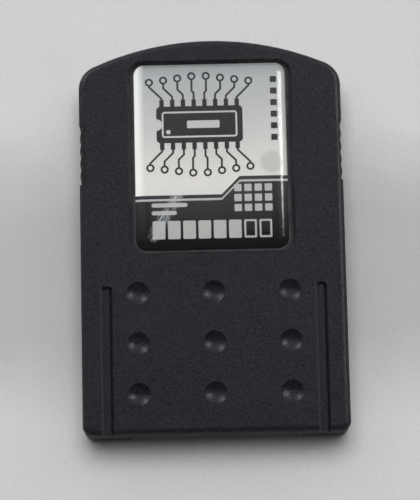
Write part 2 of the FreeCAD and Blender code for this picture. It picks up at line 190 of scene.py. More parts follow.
def noise(place, grain_mm, detail=2.0, roughness=0.5):
    """Cloudy noise from 0 to 1 with a grain of that size."""
    sockets = {"Vector": place, "Scale": 1 / (grain_mm * MM), "Detail": detail, "Roughness": roughness}
    return place.node("ShaderNodeTexNoise", sockets)


def drawn_out(place, share):
    """The place with its Y axis cut to that share, which draws a pattern out into streaks along the card."""
    return place.node("ShaderNodeVectorMath", {0: place, 1: (1.0, share, 1.0)}, operation="MULTIPLY")


def bump(height, depth_mm, strength):
    return height.node("ShaderNodeBump", {"Height": height, "Distance": depth_mm * MM, "Strength": strength})


def new_material(name):
    """An empty material with a Principled shader, and a wire to add nodes with."""
    material = bpy.data.materials.new(name)
    material.use_nodes = True
    shader = material.node_tree.nodes["Principled BSDF"]
    return material, shader, Wire(material.node_tree)


def feed(shader, **sockets):
    """Sets or links the shader's sockets, named with underscores for spaces."""
    for name, value in sockets.items():
        socket = shader.inputs[name.replace("_", " ")]
        if isinstance(value, Wire):
            value.tree.links.new(value.socket, socket)
        else:
            socket.default_value = value


def object_place(wire):
    return wire.node("ShaderNodeTexCoord", out="Object")


def label_place(place):
    """Millimetres across and along the label, from its middle."""
    x, y, _ = place.parts()
    return millimetres(x - LABEL_MIDDLE.x), millimetres(y - LABEL_MIDDLE.y)


def label_edge(u, v):
    """Distance to the label's edge in millimetres, less than 0 on the label."""
    half_width = millimetres(LABEL_WIDTH) / 2
    half_length = millimetres(LABEL_LENGTH) / 2
    return round_box(u, v, half_width, half_length, millimetres(LABEL_CORNER))


# Marks on the case, dirt and wear as well as painted highlight and shade, in millimetres in the frame
FRONT_MARKS_DEPTH = 1.0  # those on the front reach this far below its face
RECESS_DEPTH = (0.2, 0.5)  # between these the label recess begins
FILM_LEAST = 0.3  # share of the grey film away from the label's edge
GROOVE_MIDDLE = 16.95
GROOVE_HALF = 0.73
GROOVE_TOP = -8.3
LIP_OUTWARDS = 0.10  # middle of the painted highlight strip, outside a groove's left edge
LIP_HALF = 0.14
LIP_SOFTNESS = 0.20
FOOT_INWARDS = 0.12  # middle of the painted shadow strip, inside a groove's right edge
FOOT_HALF = 0.16
FOOT_SOFTNESS = 0.30
DIMPLE_COUNT = 3  # in each row and in each column
DIMPLE_PITCH = (12.0, 8.0)
DIMPLE_MIDDLE = -17.3
DIMPLE_RADIUS = 1.8
DIMPLE_RIM = 0.3  # width over which their finish fades out
GRIP_MIDDLE = 13.3
GRIP_VALLEYS = 5
GRIP_PITCH = 2.03
GRIP_SKIN = (0.05, 0.25)  # the painted shade sets in between these depths below the side
GRIP_DEPTH = 0.9  # and ends here
GRIP_SOFTNESS = 0.3
GRIP_CREST = (1.1, 0.4)  # it thickens between these distances from a valley's middle


def front_depth(place):
    """Millimetres below the front face."""
    return millimetres(FRONT_FACE - place.parts()[2])


def near_front(place):
    """Mask of the front face and what is cut into it."""
    return inside(front_depth(place) - FRONT_MARKS_DEPTH)


def groove_highlight_and_shadow(place):
    """Masks of the painted highlight on the left lips of the guide grooves and of the painted shadow along
    their right feet.
    """
    x, y, _ = place.parts()
    across = millimetres(x)
    offset = across - across.math("SIGN", across) * GROOVE_MIDDLE
    in_groove = inside(millimetres(y) - GROOVE_TOP) * near_front(place)
    lip_highlight = inside(abs(offset + GROOVE_HALF + LIP_OUTWARDS) - LIP_HALF, LIP_SOFTNESS)
    foot_shadow = inside(abs(offset - GROOVE_HALF + FOOT_INWARDS) - FOOT_HALF, FOOT_SOFTNESS)
    return lip_highlight * in_groove, foot_shadow * in_groove


def dimple_marks(place):
    """Mask of the dimples, whose hollows stay smoother than the worn face."""
    x, y, _ = place.parts()
    across, _, in_columns = repeated(millimetres(x), DIMPLE_COUNT, DIMPLE_PITCH[0])
    along, _, in_rows = repeated(millimetres(y) - DIMPLE_MIDDLE, DIMPLE_COUNT, DIMPLE_PITCH[1])
    hollow = inside(length_of(across, along) - DIMPLE_RADIUS, DIMPLE_RIM)
    return hollow * in_columns * in_rows * near_front(place)


def grip_valley_shade(place):
    """Mask of the painted shade in the valleys of the finger grips."""
    x, y, _ = place.parts()
    inwards = millimetres(CASE_SIDE) - millimetres(abs(x))
    along, _, in_grip = repeated(millimetres(y) - GRIP_MIDDLE, GRIP_VALLEYS, GRIP_PITCH)
    in_valley = ramp_up(inwards, *GRIP_SKIN) * inside(inwards - GRIP_DEPTH, GRIP_SOFTNESS)
    return in_valley * in_grip * ramp_up(abs(along), *GRIP_CREST)


def label_dirt(place):
    """Masks of the grey film in the gap round the label and of the dust specks beside it."""
    from_label = label_edge(*label_place(place))
    in_recess = ramp_up(front_depth(place), *RECESS_DEPTH) * near_front(place)
    film = FILM_LEAST + ramp_up(from_label, start=0.40, end=0.10)
    film = film * ramp_up(from_label, start=1.0, end=0.6) * in_recess
    film = film * ramp_up(noise(place, grain_mm=2.2, detail=3.0), start=0.25, end=0.65)
    specks = ramp_up(noise(place, grain_mm=0.22, detail=1.0), start=0.70, end=0.76)
    dust = ramp_up(from_label, start=1.7, end=0.4) * near_front(place) * specks
    dust = dust * ramp_up(noise(place, grain_mm=3.0), start=0.38, end=0.58)
    return film, dust


# Colours of the case, the share of coarser grain in its skin, and its roughness with what is added to it
CHARCOAL_LOW = (0.0003, 0.0, 0.0022, 1)
CHARCOAL_HIGH = (0.0196, 0.0188, 0.0258, 1)
CHARCOAL_CLOUD = (0.0165, 0.0158, 0.0215, 1)
WORN_EDGE = grey(0.050)
RECESS_FILM = (0.050, 0.048, 0.046, 1)
PALE_DUST = (0.30, 0.29, 0.27, 1)
GRIP_PAINTED_SHADE = grey(0.002)
LIP_HIGHLIGHT = grey(0.046)
GROOVE_SHADOW = grey(0.0)
COARSE_SKIN = 0.8
CASE_ROUGHNESS = 0.27
SKIN_ROUGHNESS = 0.16
CLOUD_ROUGHNESS = 0.10
EDGE_ROUGHNESS = 0.06
DIMPLE_SMOOTHNESS = 0.07
SIDE_ROUGHNESS = 0.3
FOOT_ROUGHNESS = 0.5


def case_plastic():
    """Charcoal plastic with a fine spark-eroded skin, worn edges and dust by the label, painted shade in its
    grip valleys, and a painted highlight and shadow along its grooves.
    """
    material, shader, wire = new_material("case_plastic")
    place = object_place(wire)
    fine = noise(place, grain_mm=0.20, detail=3.0, roughness=0.65)
    clouds = noise(place, grain_mm=7.0, detail=3.0)
    mottle = ramp_up(noise(place, grain_mm=0.28), start=0.25, end=0.75)
    upward = abs(wire.node("ShaderNodeNewGeometry", out="Normal").parts()[2])
    sides = ramp_up(upward, start=0.6, end=0.2)
    dimples = dimple_marks(place)
    edges = ramp_up(upward, start=0.985, end=0.90) * ramp_up(upward, start=0.10, end=0.35) * (1 - dimples)
    wear = edges * ramp_up(noise(place, grain_mm=1.3, detail=4.0), start=0.35, end=0.7)
    film, dust = label_dirt(place)
    lip_highlight, foot_shadow = groove_highlight_and_shadow(place)
    colour = colour_mix(mottle, CHARCOAL_LOW, CHARCOAL_HIGH)
    colour = tinted(colour, CHARCOAL_CLOUD, ramp_up(clouds, start=0.3, end=0.75), strength=0.2)
    colour = tinted(colour, WORN_EDGE, wear, strength=0.25)
    colour = tinted(colour, RECESS_FILM, film, strength=0.7)
    colour = tinted(colour, PALE_DUST, dust, strength=0.8)
    # painted shade: the grip valleys darkened to near black
    colour = tinted(colour, GRIP_PAINTED_SHADE, grip_valley_shade(place))
    # painted highlight on the grooves' left lips and painted shadow at their right feet
    colour = tinted(colour, LIP_HIGHLIGHT, lip_highlight, strength=0.8)
    colour = tinted(colour, GROOVE_SHADOW, foot_shadow)
    roughness = CASE_ROUGHNESS + fine * SKIN_ROUGHNESS + (clouds - 0.5) * CLOUD_ROUGHNESS
    roughness = roughness + edges * EDGE_ROUGHNESS - dimples * DIMPLE_SMOOTHNESS
    roughness = roughness + sides * SIDE_ROUGHNESS + foot_shadow * FOOT_ROUGHNESS
    skin = fine + noise(place, grain_mm=0.45) * COARSE_SKIN
    feed(shader, Base_Color=colour, Roughness=roughness, Normal=bump(skin, depth_mm=0.045, strength=0.8))
    feed(shader, Specular_IOR_Level=0.28)
    return material


# Label print, in millimetres from the label's middle
DIVIDE_LEFT = -6.3  # top of the dark field on the left
DIVIDE_RISE = 2.9  # it climbs by this much, at 45 degrees
DIVIDE_TURN = 1.6  # where the climb starts
PINSTRIPE_DROP = 0.75
PINSTRIPE_HALF = 0.17
EMBLEM = (-1.7, 5.2)  # middle of the chip emblem
CHIP_HALF = (6.9, 3.0)
CHIP_CORNER = 0.7
CHIP_LINE_INSET = 1.0  # pale line round the chip
CHIP_LINE_CORNER = 0.35
CHIP_LINE_HALF = 0.14
NOTCH_RADIUS = 0.95
FIRST_PIN_INSET = (1.9, 1.8)  # pale dot, from the chip's lower left corner
FIRST_PIN_RADIUS = 0.36
CORE_SHIFT = 0.6  # pale bar on the chip
CORE_HALF = (2.6, 0.62)
CORE_CORNER = 0.2
PIN_PITCH = 1.72
PINS_PER_HALF = 4
PIN_HALF = 0.36
PIN_END = 4.1
TRACE_HALF = 0.16
TRACE_BEND = 5.2  # height of the innermost track's bend
TRACE_TOP = 7.4  # and of its end
TRACE_STEP = 0.3  # by which both drop from track to track
TRACE_SPREAD = 0.3  # by which the innermost track bends outwards
TRACE_SPREAD_STEP = 0.55
RING_RADIUS = 0.50
SCALE_COLUMN = 10.2  # column of small squares at the right
SCALE_ROW = (6, 1.9, 7.6)  # count, pitch and middle
SCALE_HALF = 0.5
SCALE_CORNER = 0.1
CELL_ROW = (8, 2.42, -11.9)
CELL_HALF = (1.0, 1.45)
CELL_CORNER = 0.22
CELL_WALL = 0.3  # of the hollow cells
HOLLOW_CORNER = 0.12
FULL_CELLS = 6
GRID = (4, 3, 1.62, 6.6, -6.9)  # columns, rows, pitch and middle of the small grid
GRID_HALF = 0.58
GRID_CORNER = 0.12
BARS = ((-9.6, -3.9, -7.9), (-9.6, -5.6, -9.15))  # ends and height
BAR_HALF = 0.33
RIM_SHADE = 0.6  # width of the darker rim along the foil's edge
PAINTED_HIGHLIGHT_WIDTH = 1.1  # width of the painted highlight down the foil's left side
GREY_CLIMB = (-4.0, 14.0)  # the silver turns greyer between these heights
# painted reflection: between these heights the silver turns to a bluish grey
TOP_REFLECTION_BAND = (12.8, 15.1)
DARK_FALL = (-6.0, -14.0)  # the painted sheen on the dark field fades out to black between these heights
BLEMISH = (9.6, -1.2)
BLEMISH_RADIUS = 1.75
SCUFF_START = (-9.3, -12.7)
SCUFF_END = (-5.4, -6.3)
SCUFF_STREAKS = (5.5, 0.55)  # to a millimetre, across the scuff and along it

# Colours of the label print, its metal share and its roughness
SILVER_LOW = (0.69, 0.67, 0.645, 1)
SILVER_HIGH = (0.815, 0.79, 0.755, 1)
SILVER_GREY = (0.395, 0.41, 0.42, 1)
SILVER_TOP_REFLECTION = (0.25, 0.28, 0.30, 1)
SILVER_HIGHLIGHT = (0.95, 0.95, 0.92, 1)
RIM_DARKENING = (0.22, 0.20, 0.17, 1)
STAIN = (0.33, 0.33, 0.30, 1)
INK = (0.020, 0.019, 0.021, 1)
FIELD_UPPER_SHEEN = (0.034, 0.034, 0.038, 1)
FIELD_LOWER = grey(0.003)
FIELD_MARKS = (0.47, 0.465, 0.45, 1)
SCUFFED = (0.50, 0.52, 0.54, 1)
FOIL_METAL = 0.20
FOIL_ROUGHNESS = 0.42
FOIL_CLOUDS = 0.08
INK_ROUGHNESS = 0.1


def trace_routes():
    """Tracks from the pins of one quarter of the emblem, each bent outwards at 45 degrees."""
    routes = []
    for number in range(PINS_PER_HALF):
        pin = (number + 0.5) * PIN_PITCH
        spread = TRACE_SPREAD + TRACE_SPREAD_STEP * number
        bend = TRACE_BEND - TRACE_STEP * number
        top = TRACE_TOP - TRACE_STEP * number
        routes.append(((pin, PIN_END), (pin, bend), (pin + spread, bend + spread), (pin + spread, top)))
    return routes


def trace_lines(side, rise):
    """Distance to the tracks and the rings at their ends, from places mirrored about the emblem's middle."""
    nearest = None
    for route in trace_routes():
        for start, end in zip(route, route[1:]):
            line = segment(side, rise, start, end) - TRACE_HALF
            nearest = line if nearest is None else nearest.least(line)
        ring_u, ring_v = route[-1]
        ring = abs(length_of(side - ring_u, rise - ring_v - RING_RADIUS) - RING_RADIUS) - TRACE_HALF
        nearest = nearest.least(ring)
    return nearest


def chip_emblem(u, v):
    """Masks of the dark chip with its pins and tracks, and of the pale lines on the chip."""
    across, height = u - EMBLEM[0], v - EMBLEM[1]
    side, rise = abs(across), abs(height)
    half_width, half_height = CHIP_HALF
    body = inside(round_box(across, height, half_width, half_height, CHIP_CORNER))
    pin_place, _, in_row = repeated(across, 2 * PINS_PER_HALF, PIN_PITCH)
    pins = inside(abs(pin_place) - PIN_HALF) * inside(rise - PIN_END) * in_row
    dark = body.most(pins).most(inside(trace_lines(side, rise)))
    line_width, line_height = half_width - CHIP_LINE_INSET, half_height - CHIP_LINE_INSET
    line = inside(abs(round_box(across, height, line_width, line_height, CHIP_LINE_CORNER)) - CHIP_LINE_HALF)
    notch = inside(length_of(across + half_width, height) - NOTCH_RADIUS)
    pin_u = across + half_width - FIRST_PIN_INSET[0]
    pin_v = height + half_height - FIRST_PIN_INSET[1]
    first_pin = inside(length_of(pin_u, pin_v) - FIRST_PIN_RADIUS)
    core = inside(round_box(across - CORE_SHIFT, height, *CORE_HALF, CORE_CORNER))
    return dark, line.most(notch).most(first_pin).most(core)


def pale_marks(u, v):
    """Mask of the pale cells, the small grid and the bars in the dark field."""
    place, number, in_row = repeated(u, CELL_ROW[0], CELL_ROW[1])
    height = v - CELL_ROW[2]
    cells = inside(round_box(place, height, *CELL_HALF, CELL_CORNER)) * in_row
    hollow_width, hollow_height = CELL_HALF[0] - CELL_WALL, CELL_HALF[1] - CELL_WALL
    hollow = inside(round_box(place, height, hollow_width, hollow_height, HOLLOW_CORNER))
    cells = cells - cells * hollow * ramp_up(number, start=FULL_CELLS - 0.6, end=FULL_CELLS - 0.4)
    columns, rows, pitch, grid_u, grid_v = GRID
    grid_across, _, in_columns = repeated(u - grid_u, columns, pitch)
    grid_along, _, in_rows = repeated(v - grid_v, rows, pitch)
    grid = inside(round_box(grid_across, grid_along, GRID_HALF, GRID_HALF, GRID_CORNER))
    marks = cells.most(grid * in_columns * in_rows)
    for left, right, bar_v in BARS:
        bar_u = (left + right) / 2
        bar = round_box(u - bar_u, v - bar_v, (right - left) / 2, BAR_HALF, BAR_HALF)
        marks = marks.most(inside(bar))
    return marks


def scuff_marks(place, u, v):
    """Mask of the rubbed streaks across the dark field."""
    run_u, run_v = SCUFF_END[0] - SCUFF_START[0], SCUFF_END[1] - SCUFF_START[1]
    length = math.hypot(run_u, run_v)
    away = segment(u, v, SCUFF_START, SCUFF_END)
    along = ((u - SCUFF_START[0]) * run_u + (v - SCUFF_START[1]) * run_v) * (1 / length)
    sideways = ((u - SCUFF_START[0]) * run_v - (v - SCUFF_START[1]) * run_u) * (1 / length)
    streak_parts = {0: sideways * SCUFF_STREAKS[0], 1: along * SCUFF_STREAKS[1], 2: 0.0}
    streak_place = place.node("ShaderNodeCombineXYZ", streak_parts)
    streaks = place.node("ShaderNodeTexNoise", {"Vector": streak_place, "Scale": 1.0, "Detail": 3.0})
    streaks = ramp_up(streaks, start=0.42, end=0.56)
    patches = ramp_up(noise(place, grain_mm=1.8), start=0.26, end=0.48)
    return ramp_up(away, start=1.15, end=0.35) * streaks * patches


def silver_foil(u, v, brushing):
    """Colour of the bare foil: greyer to the top with a painted reflection there, darker at the rim, a
    painted highlight down the left side, with a stain.
    """
    colour = colour_mix(brushing, SILVER_LOW, SILVER_HIGH)
    colour = tinted(colour, SILVER_GREY, ramp_up(v, *GREY_CLIMB), strength=0.90)
    # painted reflection of something bluish along the foil's top
    colour = tinted(colour, SILVER_TOP_REFLECTION, ramp_up(v, *TOP_REFLECTION_BAND), strength=0.6)
    colour = tinted(colour, RIM_DARKENING, ramp_up(label_edge(u, v), start=-RIM_SHADE, end=0.0), strength=0.6)
    # painted highlight down the left side, standing in for the dome's reflection there
    painted_highlight = inside(u + millimetres(LABEL_WIDTH) / 2 - PAINTED_HIGHLIGHT_WIDTH, softness=PAINTED_HIGHLIGHT_WIDTH)
    colour = tinted(colour, SILVER_HIGHLIGHT, painted_highlight, strength=0.85)
    spot = length_of(u - BLEMISH[0], v - BLEMISH[1])
    return tinted(colour, STAIN, inside(spot - BLEMISH_RADIUS, softness=0.5), strength=0.35)


def label_print():
    """Brushed silver foil with a chip emblem, above a dark field of plain pale cells, with a painted
    highlight, reflection and sheen.
    """
    material, shader, wire = new_material("label_print")
    place = object_place(wire)
    u, v = label_place(place)
    brushing = noise(drawn_out(place, share=0.03), grain_mm=0.05, detail=3.0)
    clouds = noise(place, grain_mm=5.0)
    divide = DIVIDE_LEFT + ramp_up(u, DIVIDE_TURN, DIVIDE_TURN + DIVIDE_RISE) * DIVIDE_RISE
    dark_field = inside(v - divide)
    pinstripe = inside(abs(v - divide + PINSTRIPE_DROP) - PINSTRIPE_HALF)
    emblem, emblem_lines = chip_emblem(u, v)
    scale_place, _, in_scale = repeated(v - SCALE_ROW[2], SCALE_ROW[0], SCALE_ROW[1])
    scale_marks = inside(round_box(u - SCALE_COLUMN, scale_place, SCALE_HALF, SCALE_HALF, SCALE_CORNER))
    ink = (emblem - emblem_lines).clamped().most(scale_marks * in_scale) * (1 - dark_field)
    printed = tinted(silver_foil(u, v, brushing), INK, ink)
    # painted sheen, lighter toward the top of the dark field
    dark = colour_mix(ramp_up(v, *DARK_FALL), FIELD_UPPER_SHEEN, FIELD_LOWER)
    dark = tinted(dark, FIELD_MARKS, pale_marks(u, v).most(pinstripe))
    printed = tinted(printed, dark, dark_field)
    printed = tinted(printed, SCUFFED, scuff_marks(place, u, v) * dark_field, strength=0.85)
    bare = (1 - dark_field) * (1 - ink)
    roughness = FOIL_ROUGHNESS + clouds * FOIL_CLOUDS + ink * INK_ROUGHNESS
    feed(shader, Base_Color=printed, Metallic=bare * FOIL_METAL, Roughness=roughness)
    feed(shader, Normal=bump(brushing, depth_mm=0.002, strength=0.3), Specular_IOR_Level=0.1)
    return material


RESIN_TINT = (0.97, 0.98, 0.98, 1)
RESIN_SHADOW = (0.95, 0.96, 0.96, 1)
RESIN_ROUGHNESS = 0.10
RESIN_SCUFFS = 0.05
RESIN_STAIN = 0.10


def clear_resin():
    """Clear cast resin that lets the lamps through to the print, with faint scuffs in its gloss."""
    material, shader, wire = new_material("clear_resin")
    place = object_place(wire)
    u, v = label_place(place)
    rubbed = ramp_up(noise(place, grain_mm=2.5, detail=4.0), start=0.55, end=0.75)
    hairlines = noise(drawn_out(place, share=0.12), grain_mm=0.25)
    hairlines = ramp_up(hairlines, start=0.66, end=0.74)
    spot = inside(length_of(u - BLEMISH[0], v - BLEMISH[1]) - BLEMISH_RADIUS, softness=0.4)
    feed(shader, Base_Color=RESIN_TINT, Transmission_Weight=1.0, IOR=1.48)
    feed(shader, Roughness=RESIN_ROUGHNESS + (rubbed + hairlines) * RESIN_SCUFFS + spot * RESIN_STAIN)
    shadow_ray = wire.node("ShaderNodeLightPath", out="Is Shadow Ray")
    clear = wire.node("ShaderNodeBsdfTransparent", {"Color": RESIN_SHADOW})
    body = Wire(wire.tree, shader.outputs[0])
    mixed = wire.node("ShaderNodeMixShader", {0: shadow_ray, 1: body, 2: clear})
    wire.tree.links.new(mixed.socket, wire.tree.nodes["Material Output"].inputs["Surface"])
    return material


MASK_GREEN = (0.010, 0.085, 0.035, 1)
TRACK_GREEN = (0.022, 0.150, 0.060, 1)
WEAVE_GREEN = (0.012, 0.070, 0.030, 1)
TRACK_PITCH = 1.0  # in millimetres, as is how far the tracks wander sideways
TRACK_WANDER = 3.0


def board_laminate():
    """Green solder mask over faint copper tracks."""
    material, shader, wire = new_material("board_laminate")
    place = object_place(wire)
    across = millimetres(place.parts()[0])
    wander = noise(place, grain_mm=9.0) * TRACK_WANDER
    track = across.math("PINGPONG", across + wander, TRACK_PITCH / 2)
    tracks = ramp_up(track, start=0.30, end=0.34)
    weave = noise(place, grain_mm=0.4)
    colour = colour_mix(tracks, MASK_GREEN, TRACK_GREEN)
    colour = tinted(colour, WEAVE_GREEN, weave, strength=0.3)
    height = tracks + weave * 0.3
    feed(shader, Base_Color=colour, Roughness=0.30 + weave * 0.15, Coat_Weight=0.3)
    feed(shader, Normal=bump(height, depth_mm=0.02, strength=0.5))
    return material


GOLD_LOW = (0.72, 0.47, 0.15, 1)
GOLD_HIGH = (0.92, 0.66, 0.27, 1)
GOLD_DULL = (0.45, 0.29, 0.10, 1)


def contact_gold():
    """Gold plating with fine wiping scratches along the strips."""
    material, shader, wire = new_material("contact_gold")
    place = object_place(wire)
    wiped = noise(drawn_out(place, share=0.04), grain_mm=0.09, detail=3.0)
    dull = ramp_up(noise(place, grain_mm=1.6), start=0.55, end=0.8)
    colour = colour_mix(wiped, GOLD_LOW, GOLD_HIGH)
    colour = tinted(colour, GOLD_DULL, dull, strength=0.4)
    feed(shader, Base_Color=colour, Metallic=1.0, Roughness=0.20 + wiped * 0.18)
    feed(shader, Normal=bump(wiped, depth_mm=0.004, strength=0.4))
    return material


def chip_resin():
    """Dark moulded epoxy with a sandy skin."""
    material, shader, wire = new_material("chip_resin")
    sand = noise(object_place(wire), grain_mm=0.08, detail=3.0)
    feed(shader, Base_Color=colour_mix(sand, grey(0.010), grey(0.022)), Roughness=0.55 + sand * 0.2)
    feed(shader, Normal=bump(sand, depth_mm=0.01, strength=0.4))
    return material


def tinned_metal(name, tone):
    """Bright plated metal with a slightly uneven surface."""
    material, shader, wire = new_material(name)
    uneven = noise(object_place(wire), grain_mm=0.25, detail=3.0)
    colour = colour_mix(uneven, darkened(tone, share=0.8), darkened(tone, share=1.0))
    feed(shader, Base_Color=colour, Metallic=1.0, Roughness=0.25 + uneven * 0.2)
    feed(shader, Normal=bump(uneven, depth_mm=0.006, strength=0.4))
    return material


END_CAP_SHARE = 0.3 / 1.6  # soldered end of a small part, as a share of its length
END_CAP_BLUR = 0.01
END_CAP_TIN = (0.62, 0.61, 0.58, 1)


def small_part(name, body_tone):
    """Body of a small board part between two tinned ends."""
    material, shader, wire = new_material(name)
    from_middle = abs(wire.node("ShaderNodeTexCoord", out="Generated").parts()[0] - 0.5)
    cap_start = 0.5 - END_CAP_SHARE
    ends = ramp_up(from_middle, start=cap_start - END_CAP_BLUR, end=cap_start + END_CAP_BLUR)
    speckle = noise(object_place(wire), grain_mm=0.1)
    colour = colour_mix(speckle, darkened(body_tone, share=0.7), darkened(body_tone, share=1.0))
    colour = tinted(colour, END_CAP_TIN, ends)
    feed(shader, Base_Color=colour, Metallic=ends, Roughness=0.55 - ends * 0.25 + speckle * 0.1)
    feed(shader, Normal=bump(speckle, depth_mm=0.01, strength=0.3))
    return material


# Floor, with a painted shadow patch whose middle and half sizes are in millimetres
FLOOR_SIZE = 3.0
FLOOR_DROP = 0.02 * MM  # keeps the floor clear of the back face that lies on it
FLOOR_SHADE_MIDDLE = -5.0
FLOOR_SHADE_HALF = (70.0, 19.0)
FLOOR_LOW = (0.60, 0.595, 0.59, 1)
FLOOR_HIGH = (0.66, 0.655, 0.65, 1)
FLOOR_PITS = grey(0.20)
FLOOR_PAINTED_SHADOW = (0.04, 0.03, 0.025, 1)


def pale_floor():
    """Pale matt sheet with a faint mottle, a fine tooth and a painted soft shadow patch round the card."""
    material, shader, wire = new_material("pale_floor")
    place = object_place(wire)
    mottle = noise(place, grain_mm=14.0, detail=4.0)
    tooth = noise(place, grain_mm=0.5, detail=3.0)
    x, y, _ = place.parts()
    across = millimetres(x) * (1 / FLOOR_SHADE_HALF[0])
    along = (millimetres(y) - FLOOR_SHADE_MIDDLE) * (1 / FLOOR_SHADE_HALF[1])
    shade = ramp_up(length_of(across, along) + (mottle - 0.5) * 0.3, start=1.35, end=0.65)
    colour = colour_mix(mottle, FLOOR_LOW, FLOOR_HIGH)
    colour = tinted(colour, FLOOR_PITS, ramp_up(tooth, start=0.62, end=0.30), strength=0.09)
    # painted shadow: a soft darker patch round the card
    colour = tinted(colour, FLOOR_PAINTED_SHADOW, shade, strength=0.27)
    feed(shader, Base_Color=colour, Roughness=0.75 + tooth * 0.15)
    feed(shader, Normal=bump(tooth, depth_mm=0.05, strength=0.15))
    return material


DOME_RINGS = 28
DOME_STEPS_AROUND = 64
DOME_EDGE = 3.0 * MM  # width of the curved edge
DOME_EDGE_CURVE = 3.0
DOME_EDGE_SHARE = 0.93  # of the thickness that the curved edge climbs
DOME_SEAT = 0.02 * MM  # by which the resin wets the foil, so that no gap shows between them
DOME_MERGE = 0.001 * MM  # points nearer than this are joined


def dome_tree(material):
    """Node tree of the dome: a grid rolled into rings that shrink from the label's outline to its middle."""
    tree = bpy.data.node_groups.new("resin_dome", "GeometryNodeTree")
    sizes = {}
    for name in ("Width", "Length", "Corner", "Base", "Thickness", "Edge"):
        sizes[name] = tree.interface.new_socket(name, in_out="INPUT", socket_type="NodeSocketFloat")
    tree.interface.new_socket("Geometry", in_out="OUTPUT", socket_type="NodeSocketGeometry")
    wire = Wire(tree)
    group = tree.nodes.new("NodeGroupInput")
    width, length, corner, base, thickness, edge = [Wire(tree, group.outputs[name]) for name in sizes]
    counts = {"Size X": 1.0, "Size Y": 1.0, "Vertices X": DOME_RINGS, "Vertices Y": DOME_STEPS_AROUND + 1}
    grid = wire.node("GeometryNodeMeshGrid", counts)
    ring, turn, _ = wire.node("GeometryNodeInputPosition").parts()
    step = (ring + 0.5) * (DOME_RINGS - 1)
    on_top = step.math("GREATER_THAN", step, 0.5)
    share = ((step - 1) * (1 / (DOME_RINGS - 2))).most(0.0)
    inset = width * 0.5 * (share * share * on_top + (1 - on_top))
    angle = (turn + 0.5 + 0.5 / DOME_STEPS_AROUND) * (2 * math.pi)
    cosine = angle.math("COSINE", angle)
    sine = angle.math("SINE", angle)
    round_part = (corner - inset).most(0.0)
    x = cosine.math("SIGN", cosine) * (width * 0.5 - inset - round_part) + cosine * round_part
    y = sine.math("SIGN", sine) * (length * 0.5 - inset - round_part) + sine * round_part
    climb = 1 - (1 - inset / edge).most(0.0) ** DOME_EDGE_CURVE
    swell = 1 - (1 - inset / (width * 0.5)) ** 2
    height = thickness * (climb * DOME_EDGE_SHARE + swell * (1 - DOME_EDGE_SHARE)) * on_top
    place = wire.node("ShaderNodeCombineXYZ", {0: x, 1: y, 2: base + height})
    moved = wire.node("GeometryNodeSetPosition", {"Geometry": grid, "Position": place})
    closed = wire.node("GeometryNodeMergeByDistance", {"Geometry": moved, "Distance": DOME_MERGE})
    smooth = wire.node("GeometryNodeSetShadeSmooth", {"Geometry": closed})
    real = wire.node("GeometryNodeRealizeInstances", {"Geometry": smooth})
    painted = wire.node("GeometryNodeSetMaterial", {"Geometry": real, "Material": material})
    output = tree.nodes.new("NodeGroupOutput")
    tree.links.new(painted.socket, output.inputs["Geometry"])
    return tree, {name: socket.identifier for name, socket in sizes.items()}


def face_outwards(mesh):
    """Turns all faces of a closed mesh outwards."""
    work = bmesh.new()
    work.from_mesh(mesh)
    bmesh.ops.recalc_face_normals(work, faces=work.faces)
    work.to_mesh(mesh)
    work.free()


def make_dome(material):
    """Clear dome over the label, as a plain mesh in the place of its solid."""
    tree, identifiers = dome_tree(material)
    holder = bpy.data.objects.new("dome_holder", bpy.data.meshes.new("dome_holder"))
    bpy.context.scene.collection.objects.link(holder)
    modifier = holder.modifiers.new("dome", "NODES")
    modifier.node_group = tree
    sizes = {
        "Width": LABEL_WIDTH,
        "Length": LABEL_LENGTH,
        "Corner": LABEL_CORNER,
        "Base": DOME_LOW.z - DOME_SEAT,
        "Thickness": DOME_HIGH.z - DOME_LOW.z + DOME_SEAT,
        "Edge": DOME_EDGE,
    }
    for name, size in sizes.items():
        modifier[identifiers[name]] = size
    evaluated = holder.evaluated_get(bpy.context.evaluated_depsgraph_get())
    mesh = bpy.data.meshes.new_from_object(evaluated)
    bpy.data.objects.remove(holder)
    mesh.transform(Matrix.Translation((LABEL_MIDDLE.x, LABEL_MIDDLE.y, 0)))
    face_outwards(mesh)
    dome = bpy.data.objects.new("resin_dome", mesh)
    bpy.context.scene.collection.objects.link(dome)
    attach(dome, "root")
    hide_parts("label_dome")
    return dome


def dress_solids():
    """Gives every solid of the frame that stays its material."""
    finishes = {
        "case_plastic": case_plastic(),
        "label_print": label_print(),
        "board_laminate": board_laminate(),
        "contact_gold": contact_gold(),
        "chip_resin": chip_resin(),
        "tinned_lead": tinned_metal("tinned_lead", (0.72, 0.71, 0.69)),
        "crystal_can": tinned_metal("crystal_can", (0.66, 0.63, 0.56)),
        "capacitor_ceramic": small_part("capacitor_ceramic", (0.30, 0.20, 0.11)),
        "resistor_film": small_part("resistor_film", (0.018, 0.018, 0.020)),
    }
    for part in frame["record"]["subparts"]:
        solid = frame["nodes"][part["node"]]
        if part["material_slot"] in finishes:
            solid.data.materials.clear()
            solid.data.materials.append(finishes[part["material_slot"]])


def make_floor():
    """Square pale floor under the card."""
    half = FLOOR_SIZE / 2
    mesh = bpy.data.meshes.new("floor")
    corners = [(x, y, -FLOOR_DROP) for x, y in ((-half, -half), (half, -half), (half, half), (-half, half))]
    mesh.from_pydata(corners, [], [(0, 1, 2, 3)])
    mesh.materials.append(pale_floor())
    floor = bpy.data.objects.new("floor", mesh)
    bpy.context.scene.collection.objects.link(floor)


